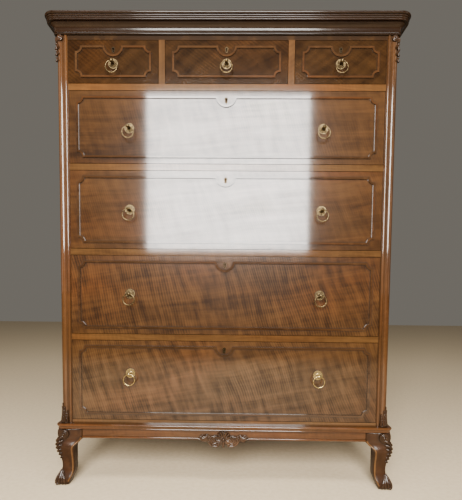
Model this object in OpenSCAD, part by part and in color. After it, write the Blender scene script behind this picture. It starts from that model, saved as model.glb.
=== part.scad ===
// Tall chest of drawers: three small drawers over four long graduated drawers,
// moulded cornice, carved corner posts, and a shaped base on cabriole legs.
// Origin on the floor under the middle of the chest, front towards -Y, +Z up.

/* [Case] */
// Width over the two corner posts
case_width = 1124; // [900:1:1300]
// Depth from the drawer faces to the back boards
case_depth = 534; // [400:1:650]
// Clear width between the corner posts
opening_width = 1050; // [820:1:1220]
// Height of the strip under the lowest drawer
bottom_rail_height = 13; // [8:1:30]
// Height of the rails between the drawers
rail_height = 21; // [14:1:32]
// Front-to-back width of the rails
rail_depth = 60; // [40:1:90]
// Height of the strip between the top drawers and the cornice
frieze_height = 14; // [8:1:40]
// Thickness of the side panels
side_thickness = 20; // [14:1:26]
// Thickness of the back boards
back_thickness = 12; // [8:1:18]
// Thickness of the top board
top_thickness = 18; // [14:1:26]

/* [Drawers] */
// Height of the top row opening
small_drawer_height = 140; // [110:1:180]
// Height of the first long opening
long_1_height = 239; // [180:1:300]
// Height of the second long opening
long_2_height = 262; // [180:1:320]
// Height of the third long opening
long_3_height = 269; // [180:1:340]
// Height of the lowest long opening
long_4_height = 278; // [180:1:360]
// Width of the middle opening in the top row
centre_opening_width = 407; // [250:1:500]
// Width of the upright dividers in the top row
divider_width = 20.5; // [14:0.5:30]
// Gap round each drawer front
front_gap = 1.5; // [0.8:0.1:3]
// Thickness of the drawer fronts
front_thickness = 22; // [18:1:28]
// Thickness of the drawer sides and backs
board_thickness = 12; // [8:1:16]
// Thickness of the drawer bottoms
bottom_thickness = 8; // [5:1:12]
// Gap between a drawer side and its guide
side_clearance = 1.5; // [1:0.1:4]
// Gap between a drawer side and its runner
runner_clearance = 0.5; // [0.3:0.1:1]
// How far the drawer side stops below the rail above
top_clearance = 7; // [3:1:20]

/* [Panel bead] */
// Width of the raised bead on the drawer faces
bead_width = 4.4; // [3:0.2:10]
// How far the bead stands off the face
bead_height = 3.4; // [2:0.2:6]
// Bead centre line from the ends of a long drawer opening
bead_inset_x = 30; // [20:1:50]
// Bead centre line from the ends of a small drawer opening
small_bead_inset_x = 28; // [20:1:50]
// Bead centre line from the top and bottom of an opening
bead_inset_z = 23; // [15:1:40]
// Radius of the hollow bead corners
bead_corner_radius = 18; // [10:1:30]
// Radius of the bead loop round the keyhole
bead_loop_radius = 31; // [20:1:40]

/* [Brass] */
// Distance of the two pulls from the centre line of a long drawer
pull_spacing = 322; // [200:1:400]
// Mean radius of the ring
ring_radius = 19; // [14:0.5:26]
// Radius of the ring wire
wire_radius = 1.9; // [1.4:0.1:3]
// Radius of the eye the ring hangs in
eye_radius = 2.8; // [2:0.1:4]
// Radius of the ball-shaped knuckle on the end of the pull's post
knuckle_radius = 6.2; // [5:0.1:9]
// Distance of the eye from the drawer face
eye_reach = 25; // [18:1:34]
// Radius of the round plate behind the ring
rose_radius = 16; // [12:0.5:22]
// Radius of the keyhole's round end
keyhole_radius = 2.6; // [2:0.1:4]
// Width of the brass border round the keyhole
escutcheon_border = 3; // [1.5:0.5:5]
// Travel of the lock bolt
bolt_travel = 8; // [5:0.5:12]

/* [Cornice and base] */
// Overhang of the cornice in front and at the sides
cornice_overhang = 36; // [20:1:60]
// Height of the cornice
cornice_height = 60; // [40:1:90]
// Height of the base moulding's underside above the floor
leg_height = 200; // [140:1:260]
// Height of the base moulding
base_moulding_height = 17; // [10:1:30]
// How far the base moulding stands out past the posts
base_moulding_reach = 18; // [6:1:24]
// Height of the apron under the base moulding
apron_height = 37; // [24:1:70]
// Height of the bead along the apron's lower edge
apron_bead = 8; // [4:1:14]
// Half width of the carving on the middle of the apron
carving_half = 86; // [60:1:110]
// Bulge of the leg's knee past the post
knee_reach = 21; // [8:1:30]
// How far the ankle stands in from the post
ankle_inset = 6; // [0:1:16]
// Width of the leg at the ankle
ankle_width = 40; // [28:1:56]
// Reach of the toe past the post
toe_reach = 17; // [5:1:26]

/* [Hidden] */
eps = 0.1;
post_half = case_width / 2;
open_half = opening_width / 2;
front_y = (cornice_overhang - case_depth) / 2;
back_y = (cornice_overhang + case_depth) / 2;
panel_x = post_half - 6;
panel_inner = panel_x - side_thickness;
post_depth = 45;
post_relief = 4;
base_top = leg_height + base_moulding_height;
long_4_z = base_top + bottom_rail_height;
long_3_z = long_4_z + long_4_height + rail_height;
long_2_z = long_3_z + long_3_height + rail_height;
long_1_z = long_2_z + long_2_height + rail_height;
small_z = long_1_z + long_1_height + rail_height;
frieze_z = small_z + small_drawer_height;
cornice_z = frieze_z + frieze_height;
top_z = cornice_z + cornice_height;
board_top_z = top_z - top_thickness;
centre_half = centre_opening_width / 2;
divider_x = centre_half + divider_width / 2;
rail_levels = [long_3_z, long_2_z, long_1_z, small_z];
knee_z = 0.71 * leg_height;
ankle_z = 0.33 * leg_height;
walnut = [0.42, 0.26, 0.14];
figured = [0.50, 0.31, 0.16];
carved = [0.30, 0.19, 0.12];
oak = [0.70, 0.55, 0.36];
brass = [0.72, 0.58, 0.32];
$fn = 48;

// Openings, counted: 0 to 2 along the top row, 3 to 6 the long drawers downwards
function open_x0(i) = i == 0 ? -open_half : i == 1 ? -centre_half
    : i == 2 ? centre_half + divider_width : -open_half;
function open_x1(i) = i == 0 ? -centre_half - divider_width : i == 1 ? centre_half : open_half;
function open_z0(i) = i < 3 ? small_z : i == 3 ? long_1_z : i == 4 ? long_2_z
    : i == 5 ? long_3_z : long_4_z;
function open_h(i) = i < 3 ? small_drawer_height : i == 3 ? long_1_height : i == 4 ? long_2_height
    : i == 5 ? long_3_height : long_4_height;
function mid_x(i) = (open_x0(i) + open_x1(i)) / 2;
function bead_top(i) = open_z0(i) + open_h(i) - bead_inset_z;
function front_top(i) = open_z0(i) + open_h(i) - front_gap;
function key_z(i) = bead_top(i) - 5;
function eye_z(i) = open_z0(i) + open_h(i) / 2 + (i < 3 ? -7 : i == 6 ? 25 : 4 * (i - 4));
function pulls(i) = i < 3 ? [mid_x(i)] : [-pull_spacing, pull_spacing];
function bez(p, t) = pow(1 - t, 3) * p[0] + 3 * t * pow(1 - t, 2) * p[1]
    + 3 * t * t * (1 - t) * p[2] + pow(t, 3) * p[3];
function arc_of(p, n = 6) = [for (k = [1:n]) bez(p, k / n)];

module span(a, b) { translate(a) cube(b - a); }

// Carries a profile (x outwards, y up) along the left side, the front and the right side
module surround(half, y_front, r, y_back) {
    for (s = [-1, 1]) {
        translate([s * (half - r), y_front + r, 0]) rotate([0, 0, s > 0 ? -90 : 180])
            rotate_extrude(angle = 90) translate([r, 0]) children();
        translate([s * (half - r), 0, 0]) mirror([s < 0 ? 1 : 0, 0, 0])
            translate([r, y_back, 0]) rotate([90, 0, 0])
                linear_extrude(y_back - y_front - r) children();
    }
    translate([-(half - r), y_front, 0]) rotate([0, 0, -90]) rotate([90, 0, 0])
        mirror([0, 0, 1]) linear_extrude(2 * (half - r)) children();
}

// Plan of the mitred front piece, or of the piece on side s, cut from an inner corner
module mitre(x, y, s = 0) {
    out = 90;
    linear_extrude(3 * top_z, center = true)
        if (s == 0) polygon([[-x, y], [x, y], [x + out, y - out], [-x - out, y - out]]);
        else polygon([[s * (x + eps), y], [s * (x + out + eps), y - out],
            [s * (x + out), back_y + 1], [s * (x + eps), back_y + 1]]);
}

// ---------- corner posts ----------
module post_plan() {
    difference() {
        union() {
            translate([13, 5]) square([post_half - open_half - 13, post_depth - 5]);
            translate([5, 13]) square([post_half - open_half - 5, post_depth - 13]);
            translate([13, 13]) circle(12);
            translate([30.5, 5]) circle(5);
            translate([5, 30.5]) circle(5);
        }
        translate([25, -1]) square([0.6, 7.2]);
        translate([-1, 25]) square([7.2, 0.6]);
        translate([-20, post_depth]) square(80);
    }
}

module corner_post(s) {
    difference() {
        translate([s * post_half, front_y - post_relief, base_top]) mirror([s > 0 ? 1 : 0, 0, 0])
            linear_extrude(cornice_z - base_top) post_plan();
        for (z = rail_levels) rail_tenon(s, z - rail_height / 2, 0.1);
        rail_tenon(s, base_top + bottom_rail_height / 2, 0.1, 3);
    }
}

module rail_tenon(s, z, g, half_t = 6) {
    translate([s * (open_half + 4), front_y + 22, z])
        cube([10 + 2 * g, 24 + 2 * g, 2 * half_t + 2 * g], center = true);
}

module post_carving(s) {
    column_y = front_y - post_relief + 13;
    difference() {
        translate([s * post_half, column_y, 0]) mirror([s > 0 ? 1 : 0, 0, 0]) {
            // rolled scroll under the cornice, then a husk drop down the outer corner
            translate([13, -6, cornice_z - 11.5]) rotate([90, 0, 0]) {
                cylinder(h = 11, r = 9);
                cylinder(h = 14, r = 4.5);
            }
            for (k = [0:3]) translate([4, -9, cornice_z - 43 - 17 * k])
                cylinder(h = 15.5, r1 = 3.6, r2 = 8.6 - 1.1 * k);
            // leaf wrapped round the foot of the column, standing on a flared scroll
            translate([13, 0, base_top + 0.1]) {
                cylinder(h = 10, r1 = 18.5, r2 = 16.5);
                cylinder(h = 47, r = 14.5);
                translate([0, 0, 47]) cylinder(h = 28, r1 = 14.5, r2 = 12.3);
            }
        }
        post_clear(s);
    }
}

// The room a post carving leaves for the post behind it
module post_clear(s) {
    translate([s * post_half, front_y - post_relief, 0]) mirror([s > 0 ? 1 : 0, 0, 0])
        linear_extrude(top_z) {
            translate([13, 13]) circle(12.1);
            translate([13, -60]) square([80, 200]);
            translate([4.9, 13]) square([80, 200]);
            translate([-40, 25]) square([120, 200]);
        }
}

// ---------- cornice and base moulding ----------
module cornice_profile() {
    h = cornice_height;
    o = cornice_overhang;
    difference() {
        union() {
            square([6, h]);
            translate([0, h - 26]) square([o - 7, 20]);
            translate([0, h - 4.5]) square([o - 4.5, 4.5]);
            translate([0, h - 9]) square([o - 4.5, 4.5]);
            translate([o - 4.5, h - 4.5]) circle(4.5);
            for (k = [0:2]) translate([o - 6.2 - 1.6 * k, h - 12 - 5.6 * k]) circle(2.8);
            translate([5.4, 2.6]) circle(2.6);
            translate([6.4, 7.8]) circle(2.6);
            translate([0, 10]) square([19, h - 30]);
            translate([7, 18]) circle(8);
        }
        translate([o - 7, 11]) circle(22);
        translate([-60, -1]) square([60, h + 2]);
    }
}

module cornice_blank() {
    translate([0, 0, cornice_z]) {
        surround(post_half, front_y, 2.5, back_y) cornice_profile();
        for (s = [-1, 1]) span([s > 0 ? panel_x : -post_half, front_y + 2.5, 0],
            [s > 0 ? post_half : -panel_x, back_y, cornice_height]);
        span([-post_half + 2.5, front_y - 1, 0], [post_half - 2.5, front_y + 2.5, cornice_height]);
    }
}

module base_profile() {
    h = base_moulding_height;
    r = base_moulding_reach;
    difference() {
        union() {
            square([r - 4, h - 1]);
            translate([r - 4.6, h - 4.6]) circle(4.6);
            square([r - 4.6, h]);
        }
        translate([r - 0.4, h - 14]) circle(4.6);
    }
}

module base_blank() {
    translate([0, 0, leg_height]) {
        surround(post_half, front_y, 4, back_y) base_profile();
        difference() {
            span([-post_half + 0.5, front_y + 0.5, 0], [post_half - 0.5, back_y, base_moulding_height]);
            span([-post_half + 60, front_y + 60, -1], [post_half - 60, back_y + 1, leg_height]);
        }
    }
}

// ---------- case joinery ----------
module rail(z, h) {
    difference() {
        union() {
            span([-open_half, front_y, z], [open_half, front_y + rail_depth, z + h]);
            for (s = [-1, 1]) rail_tenon(s, z + h / 2, 0, h > 15 ? 6 : 3);
        }
        if (h > 15) for (i = [0:6]) strike(i);
    }
}

module strike(i) {
    translate([mid_x(i), front_y + 14.5, open_z0(i) + open_h(i)])
        cube([29, 9.5, 17], center = true);
}

module front_rails_shape() {
    rail(base_top, bottom_rail_height);
    for (z = rail_levels) rail(z - rail_height, rail_height);
    difference() {
        union() {
            span([-open_half, front_y, frieze_z], [open_half, front_y + 22, cornice_z]);
            span([-panel_x, front_y, cornice_z], [panel_x, front_y + 22, board_top_z]);
        }
        for (i = [0:2]) strike(i);
    }
}

module runner_pair(x, half, z, y0) {
    for (s = [-1, 1]) span([s > 0 ? x - half : -x - half, y0, z - 13],
        [s > 0 ? x + half : -x + half, back_y - back_thickness, z]);
}

module drawer_runners_shape() {
    y0 = front_y + rail_depth;
    guide_x = open_half - 0.5;
    for (z = concat([long_4_z], rail_levels)) {
        runner_pair((panel_inner + 480) / 2, (panel_inner - 480) / 2, z, y0);
        for (s = [-1, 1]) span([s > 0 ? guide_x : -panel_inner, front_y + post_depth + 1, z + eps],
            [s > 0 ? panel_inner : -guide_x, back_y - back_thickness, z + 26]);
    }
    runner_pair(divider_x, 45, small_z, y0);
}

module dust_board(x0, x1, z, t) {
    span([x0, front_y + rail_depth, z], [x1, back_y - back_thickness, z + t]);
}

// ---------- legs and apron ----------
function leg_outline() = concat(
    [[-70, leg_height], [8, leg_height]],
    arc_of([[8, leg_height], [17, leg_height - 4], [17, leg_height - 26], [9, leg_height - 30]], 5),
    arc_of([[9, leg_height - 30], [17, leg_height - 36], [knee_reach, knee_z + 16],
        [knee_reach, knee_z]], 5),
    arc_of([[knee_reach, knee_z], [knee_reach, knee_z - 34], [-ankle_inset, ankle_z + 30],
        [-ankle_inset, ankle_z]], 8),
    arc_of([[-ankle_inset, ankle_z], [-ankle_inset, ankle_z - 18], [toe_reach, 36], [toe_reach, 14]], 6),
    [[toe_reach - 4, 0], [-25, 0], [-31, 6]],
    arc_of([[-31, 6], [-40, 26], [-ankle_inset - ankle_width, ankle_z - 24],
        [-ankle_inset - ankle_width, ankle_z]], 6),
    arc_of([[-ankle_inset - ankle_width, ankle_z], [-ankle_inset - ankle_width, ankle_z + 34],
        [-42, knee_z - 18], [-46, knee_z]], 6),
    arc_of([[-46, knee_z], [-50, knee_z + 14], [-60, leg_height - apron_height],
        [-70, leg_height - apron_height]], 6)
);

// Leg in its own corner: +X and +Y point outwards; flat_back keeps the rear face upright
module leg_block(flat_back) {
    intersection() {
        rotate([90, 0, 0]) linear_extrude(240, center = true) polygon(leg_outline());
        rotate([90, 0, 90]) linear_extrude(240, center = true)
            if (flat_back) polygon([for (p = leg_outline()) [min(p[0], 0), p[1]]]);
            else polygon(leg_outline());
    }
}

module leg_carving() {
    // volutes on both outer faces, leaf lobes down the corner, scrolled toe
    for (m = [0, 1]) mirror([m, -m, 0]) translate([-13, 8, leg_height - 20]) rotate([-90, 0, 0]) {
        cylinder(h = 7, r = 16);
        cylinder(h = 9.5, r = 5);
    }
    for (k = [0:4]) translate([9 - 2 * abs(k - 1.5), 9 - 2 * abs(k - 1.5), leg_height - 44 - 14 * k])
        sphere(10.5 - 1.1 * k);
    translate([4, 4, 13]) sphere(13);
}

module front_leg(s) {
    translate([s * post_half, front_y, 0]) mirror([s < 0 ? 1 : 0, 0, 0]) mirror([0, 1, 0]) {
        leg_block(false);
        leg_carving();
    }
}

module rear_leg(s) {
    translate([s * post_half, back_y, 0]) mirror([s < 0 ? 1 : 0, 0, 0]) leg_block(true);
}

// Half-round bead along the board's lower edge
module apron_roll(x0, x1) {
    translate([x0, 2 - eps / 2, apron_bead / 2 - apron_height]) rotate([0, 90, 0])
        cylinder(h = x1 - x0, r = apron_bead / 2);
}

// Face towards -Y, upper edge at z = 0; a drop swells the middle for the carving
module apron_board(half, drop) {
    translate([0, 2, 0]) rotate([90, 0, 0]) mirror([0, 0, 1]) linear_extrude(18) {
        translate([-half, -apron_height]) square([2 * half, apron_height]);
        if (drop > 0) intersection() {
            translate([0, drop]) circle(drop * 2.05, $fn = 96);
            translate([-drop * 2, -apron_height - drop]) square([drop * 4, drop + 10]);
        }
    }
    if (drop > 0) for (s = [-1, 1]) mirror([s < 0 ? 1 : 0, 0, 0]) apron_roll(carving_half, half);
    else apron_roll(-half, half);
}

module apron_shape() {
    half_x = post_half - 70.2;
    side_len = (case_depth - 140.4) / 2;
    mid_y = (front_y + back_y) / 2;
    translate([0, front_y, leg_height]) apron_board(half_x, 46);
    for (s = [-1, 1]) translate([s * post_half, mid_y, leg_height]) rotate([0, 0, s * 90])
        apron_board(side_len, 0);
    span([-half_x, back_y - 22, leg_height - apron_height], [half_x, back_y - 2, leg_height]);
}

// Shell fan, paired C-scrolls, leaf ends and a centre drop, standing on one plate
module apron_carving_shape() {
    plate = 4;
    translate([0, front_y + 1.9, leg_height - 33]) rotate([90, 0, 0]) {
        linear_extrude(plate) {
            circle(22.5);
            for (s = [-1, 1]) {
                translate([s * 31, -8]) circle(21);
                translate([s * 58, 2]) circle(13);
                translate([s * 76, 6]) circle(8);
            }
            translate([-6, -30]) square([12, 20]);
        }
        translate([0, 0, plate + 0.02]) {
            for (a = [-64:32:64]) rotate([0, 0, a]) translate([0, 17, 0]) cylinder(h = 3, r = 4.4);
            cylinder(h = 5, r = 8);
            for (s = [-1, 1]) {
                translate([s * 31, -8, 0]) difference() {
                    cylinder(h = 3.5, r = 19.5);
                    translate([0, 0, -1]) cylinder(h = 10, r = 14.5);
                    translate([-s * 24, 26, 0]) cube(48, center = true);
                }
                translate([s * 22, -14, 0]) cylinder(h = 4.5, r = 3.4);
                translate([s * 60, 2, 0]) cylinder(h = 4, r = 8);
                translate([s * 77, 6, 0]) cylinder(h = 3, r = 5);
            }
            translate([0, -22, 0]) cylinder(h = 5, r = 5);
        }
    }
}

// ---------- drawers ----------
module panel_region(i, w) {
    ix = i < 3 ? small_bead_inset_x : bead_inset_x;
    x0 = open_x0(i) + ix - w;
    x1 = open_x1(i) - ix + w;
    z0 = open_z0(i) + bead_inset_z - w;
    z1 = bead_top(i) + w;
    difference() {
        translate([x0, z0]) square([x1 - x0, z1 - z0]);
        for (x = [x0 + w, x1 - w], z = [z0 + w, z1 - w])
            translate([x, z]) circle(bead_corner_radius - w);
        translate([mid_x(i), z1 - w + 3]) circle(bead_loop_radius - w);
    }
}

module face_plate(y, h) { translate([0, y, 0]) rotate([90, 0, 0]) linear_extrude(h) children(); }

module panel_bead(i) {
    face_plate(front_y + 0.5, bead_height - 1) difference() {
        panel_region(i, bead_width / 2);
        panel_region(i, -bead_width / 2);
    }
    face_plate(front_y, bead_height) difference() {
        panel_region(i, bead_width / 4);
        panel_region(i, -bead_width / 4);
    }
}

module keyhole(i, g) {
    translate([mid_x(i), key_z(i)]) {
        circle(keyhole_radius + g);
        translate([-1.5 - g, -9]) square([3 + 2 * g, 9]);
        translate([0, -9]) circle(1.5 + g);
    }
}

// Tails on the front end of a drawer side, spreading towards the front
module tails(i, g) {
    h = open_h(i) - top_clearance;
    n = floor(h / 44);
    for (k = [0:n - 1]) translate([0, front_y + front_thickness, open_z0(i) + h * (k + 0.5) / n])
        rotate([90, 0, 90]) linear_extrude(board_thickness + 3 * g) polygon(
            [[0.5, -9 - g], [-13 - g, -13 - g], [-13 - g, 13 + g], [0.5, 9 + g]]);
}

module box_side(i, s) {
    z0 = open_z0(i) + runner_clearance;
    outer = s < 0 ? open_x0(i) + side_clearance : open_x1(i) - side_clearance;
    x0 = s < 0 ? outer : outer - board_thickness;
    y1 = back_y - back_thickness - 13;
    difference() {
        union() {
            span([x0, front_y + front_thickness + 0.2, z0],
                [x0 + board_thickness, y1, open_z0(i) + open_h(i) - top_clearance]);
            translate([x0, 0, 0]) tails(i, 0);
        }
        span([s < 0 ? x0 + board_thickness - 6 : x0 - 1, front_y, z0 + 8],
            [s < 0 ? x0 + board_thickness + 1 : x0 + 6, y1 + 1, z0 + 8.4 + bottom_thickness]);
    }
}

module box_shape(i) {
    z0 = open_z0(i) + runner_clearance;
    x0 = open_x0(i) + side_clearance + board_thickness;
    x1 = open_x1(i) - side_clearance - board_thickness;
    y1 = back_y - back_thickness - 13;
    box_side(i, -1);
    box_side(i, 1);
    span([x0 - 5.8, front_y + front_thickness - 5.8, z0 + 8.2],
        [x1 + 5.8, y1, z0 + 8.2 + bottom_thickness]);
    span([x0 + eps, y1 - board_thickness, z0 + 8.5 + bottom_thickness],
        [x1 - eps, y1, open_z0(i) + open_h(i) - top_clearance - 4]);
}

module front_shape(i) {
    sx0 = open_x0(i) + side_clearance;
    sx1 = open_x1(i) - side_clearance - board_thickness;
    z0 = open_z0(i) + runner_clearance;
    difference() {
        union() {
            span([open_x0(i) + front_gap, front_y, open_z0(i) + front_gap],
                [open_x1(i) - front_gap, front_y + front_thickness, front_top(i)]);
            panel_bead(i);
        }
        face_plate(front_y + front_thickness, front_thickness + 1) keyhole(i, 0.2);
        face_plate(front_y + 3, 4) keyhole(i, escutcheon_border + 0.1);
        span([mid_x(i) - 30.1, front_y + 8.4, key_z(i) - 24.1],
            [mid_x(i) + 30.1, front_y + front_thickness + 1, front_top(i) + 1]);
        for (x = pulls(i)) translate([x, front_y - 1, eye_z(i)]) rotate([-90, 0, 0])
            cylinder(h = front_thickness + 2, r = 3.6);
        translate([sx0 - 0.2, 0, 0]) tails(i, 0.1);
        translate([sx1 - 0.1, 0, 0]) tails(i, 0.1);
        span([sx0 + board_thickness - 6.2, front_y + front_thickness - 6, z0 + 8],
            [sx1 + 6.2, front_y + front_thickness + 1, z0 + 8.4 + bottom_thickness]);
    }
}

module rose() {
    // turned plate, its axis along +Z away from the face, bored for the post
    rotate_extrude() difference() {
        union() {
            translate([3.6, 0]) square([rose_radius - 5.6, 1.6]);
            translate([rose_radius - 2, 0]) square([2, 2.4]);
            translate([3.6, 0]) square([7, 4]);
            translate([6, 3.4]) circle(2.4);
        }
        translate([0, -5]) square([40, 5]);
        translate([-10, -5]) square([13.6, 30]);
    }
}

module pull_post() {
    difference() {
        union() {
            translate([0, 0, -front_thickness - 9]) cylinder(h = front_thickness + 9 + eye_reach, r = 3.4);
            translate([0, 0, eye_reach]) sphere(knuckle_radius);
            translate([0, 0, 7.5]) cylinder(h = 3, r = 5.4);
            translate([0, 0, 10.5]) cylinder(h = 10, r1 = 5.4, r2 = 3.4);
        }
        translate([0, 0, eye_reach]) rotate([0, 90, 0]) cylinder(h = 40, r = eye_radius, center = true);
        for (s = [-1, 1]) translate([s * (4.4 + 10), 0, eye_reach]) cube(20, center = true);
    }
}

module nut() {
    difference() {
        translate([-7, -7, -5.5]) cube([14, 14, 5.4]);
        translate([0, 0, -10]) cylinder(h = 20, r = 3.5);
    }
}

module lock_case(i) {
    bolt_h = bolt_travel + 15;
    x = mid_x(i);
    difference() {
        span([x - 30, front_y + 8.5, key_z(i) - 24],
            [x + 30, front_y + front_thickness - 0.5, front_top(i)]);
        span([x - 13.4, front_y + 10.8, front_top(i) - bolt_h - 0.5],
            [x + 13.4, front_y + 18.2, front_top(i) + 1]);
        face_plate(front_y + 12, 6) keyhole(i, 0);
    }
}

module fittings_shape(i) {
    for (x = pulls(i)) translate([x, front_y, eye_z(i)]) rotate([90, 0, 0]) {
        rose();
        pull_post();
        translate([0, 0, -front_thickness]) nut();
    }
    difference() {
        face_plate(front_y + 3, 3.6) keyhole(i, escutcheon_border);
        face_plate(front_y + 4, 6) keyhole(i, 0);
    }
    lock_case(i);
}

module bolt_shape(i) {
    bolt_h = bolt_travel + 15;
    span([mid_x(i) - 13, front_y + 11.2, front_top(i) - bolt_h],
        [mid_x(i) + 13, front_y + 17.8, front_top(i) - 0.5]);
}

module ring_shape(x, i) {
    translate([x, front_y - eye_reach, eye_z(i) - ring_radius]) rotate([90, 0, 0])
        rotate_extrude($fn = 64) translate([ring_radius, 0]) circle(wire_radius, $fn = 20);
}

// ---------- sub-parts ----------
module side_panel(s) {
    span([s < 0 ? -panel_x : panel_inner, front_y + post_depth - post_relief, base_top],
        [s < 0 ? -panel_inner : panel_x, back_y, cornice_z]);
    span([s < 0 ? -panel_x : panel_inner, front_y + 22.1, cornice_z],
        [s < 0 ? -panel_inner : panel_x, back_y, board_top_z]);
}

module side_panel_left() { color(walnut) side_panel(-1); }
module side_panel_right() { color(walnut) side_panel(1); }
module corner_post_left() { color(walnut) corner_post(-1); }
module corner_post_right() { color(walnut) corner_post(1); }
module post_carving_left() { color(carved) post_carving(-1); }
module post_carving_right() { color(carved) post_carving(1); }
module cornice() {
    color(walnut) for (s = [-1, 0, 1]) intersection() {
        cornice_blank();
        mitre(panel_x, front_y, s);
    }
}
module top_board() {
    color(walnut) span([-panel_x, front_y, board_top_z], [panel_x, back_y, top_z]);
}
module front_rails() { color(walnut) front_rails_shape(); }
module drawer_dividers() {
    color(walnut) for (s = [-1, 1]) span(
        [s * divider_x - divider_width / 2, front_y, small_z],
        [s * divider_x + divider_width / 2, back_y - back_thickness, frieze_z]);
}
module drawer_runners() { color(oak) drawer_runners_shape(); }
module dust_boards() {
    color(oak) {
        dust_board(-480, 480, base_top, 9);
        for (z = [long_3_z, long_2_z, long_1_z]) dust_board(-480, 480, z - 12, 6);
        dust_board(-divider_x + 45, divider_x - 45, small_z - 12, 6);
        for (s = [-1, 1]) dust_board(s > 0 ? divider_x + 45 : -480, s > 0 ? 480 : -divider_x - 45,
            small_z - 12, 6);
    }
}
module back_boards() {
    pitch = 2 * panel_inner / 5;
    color(oak) for (k = [0:4]) span([-panel_inner + pitch * k + 0.2, back_y - back_thickness, base_top],
        [-panel_inner + pitch * (k + 1) - 0.2, back_y, board_top_z]);
}
module base_moulding() {
    color(walnut) for (s = [-1, 0, 1]) intersection() {
        base_blank();
        // the base frame is wider than its moulding, so its mitres start further in
        mitre(post_half - 60, front_y + 60, s);
    }
}
module apron() { color(walnut) apron_shape(); }
module apron_carving() { color(carved) apron_carving_shape(); }
module leg_front_left() { color(carved) front_leg(-1); }
module leg_front_right() { color(carved) front_leg(1); }
module leg_rear_left() { color(walnut) rear_leg(-1); }
module leg_rear_right() { color(walnut) rear_leg(1); }

module small_left_front() { color(figured) front_shape(0); }
module small_left_box() { color(oak) box_shape(0); }
module small_left_fittings() { color(brass) fittings_shape(0); }
module small_left_bolt() { color(brass) bolt_shape(0); }
module small_left_ring() { color(brass) ring_shape(mid_x(0), 0); }
module small_centre_front() { color(figured) front_shape(1); }
module small_centre_box() { color(oak) box_shape(1); }
module small_centre_fittings() { color(brass) fittings_shape(1); }
module small_centre_bolt() { color(brass) bolt_shape(1); }
module small_centre_ring() { color(brass) ring_shape(mid_x(1), 1); }
module small_right_front() { color(figured) front_shape(2); }
module small_right_box() { color(oak) box_shape(2); }
module small_right_fittings() { color(brass) fittings_shape(2); }
module small_right_bolt() { color(brass) bolt_shape(2); }
module small_right_ring() { color(brass) ring_shape(mid_x(2), 2); }
module long_1_front() { color(figured) front_shape(3); }
module long_1_box() { color(oak) box_shape(3); }
module long_1_fittings() { color(brass) fittings_shape(3); }
module long_1_bolt() { color(brass) bolt_shape(3); }
module long_1_ring_left() { color(brass) ring_shape(-pull_spacing, 3); }
module long_1_ring_right() { color(brass) ring_shape(pull_spacing, 3); }
module long_2_front() { color(figured) front_shape(4); }
module long_2_box() { color(oak) box_shape(4); }
module long_2_fittings() { color(brass) fittings_shape(4); }
module long_2_bolt() { color(brass) bolt_shape(4); }
module long_2_ring_left() { color(brass) ring_shape(-pull_spacing, 4); }
module long_2_ring_right() { color(brass) ring_shape(pull_spacing, 4); }
module long_3_front() { color(figured) front_shape(5); }
module long_3_box() { color(oak) box_shape(5); }
module long_3_fittings() { color(brass) fittings_shape(5); }
module long_3_bolt() { color(brass) bolt_shape(5); }
module long_3_ring_left() { color(brass) ring_shape(-pull_spacing, 5); }
module long_3_ring_right() { color(brass) ring_shape(pull_spacing, 5); }
module long_4_front() { color(figured) front_shape(6); }
module long_4_box() { color(oak) box_shape(6); }
module long_4_fittings() { color(brass) fittings_shape(6); }
module long_4_bolt() { color(brass) bolt_shape(6); }
module long_4_ring_left() { color(brass) ring_shape(-pull_spacing, 6); }
module long_4_ring_right() { color(brass) ring_shape(pull_spacing, 6); }

side_panel_left();
side_panel_right();
corner_post_left();
corner_post_right();
post_carving_left();
post_carving_right();
cornice();
top_board();
front_rails();
drawer_dividers();
drawer_runners();
dust_boards();
back_boards();
base_moulding();
apron();
apron_carving();
leg_front_left();
leg_front_right();
leg_rear_left();
leg_rear_right();
small_left_front();
small_left_box();
small_left_fittings();
small_left_bolt();
small_left_ring();
small_centre_front();
small_centre_box();
small_centre_fittings();
small_centre_bolt();
small_centre_ring();
small_right_front();
small_right_box();
small_right_fittings();
small_right_bolt();
small_right_ring();
long_1_front();
long_1_box();
long_1_fittings();
long_1_bolt();
long_1_ring_left();
long_1_ring_right();
long_2_front();
long_2_box();
long_2_fittings();
long_2_bolt();
long_2_ring_left();
long_2_ring_right();
long_3_front();
long_3_box();
long_3_fittings();
long_3_bolt();
long_3_ring_left();
long_3_ring_right();
long_4_front();
long_4_box();
long_4_fittings();
long_4_bolt();
long_4_ring_left();
long_4_ring_right();
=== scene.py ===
from math import cos, exp, pi, radians, sin, tau

import bpy
from mathutils import Matrix, Vector


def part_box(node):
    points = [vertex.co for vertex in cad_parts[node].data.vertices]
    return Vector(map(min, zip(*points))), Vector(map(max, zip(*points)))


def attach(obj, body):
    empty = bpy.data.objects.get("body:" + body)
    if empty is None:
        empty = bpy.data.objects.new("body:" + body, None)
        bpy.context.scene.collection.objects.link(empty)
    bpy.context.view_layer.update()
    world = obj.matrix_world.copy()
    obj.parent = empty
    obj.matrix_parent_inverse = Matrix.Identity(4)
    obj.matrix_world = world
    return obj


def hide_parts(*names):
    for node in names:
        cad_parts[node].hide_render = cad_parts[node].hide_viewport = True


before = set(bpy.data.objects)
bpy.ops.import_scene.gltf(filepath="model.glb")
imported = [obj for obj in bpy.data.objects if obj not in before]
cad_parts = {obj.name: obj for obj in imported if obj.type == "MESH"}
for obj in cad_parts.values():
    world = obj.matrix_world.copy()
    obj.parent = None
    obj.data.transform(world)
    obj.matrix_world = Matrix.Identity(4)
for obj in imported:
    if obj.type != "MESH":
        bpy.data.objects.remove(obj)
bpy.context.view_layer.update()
MM = 0.001

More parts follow.
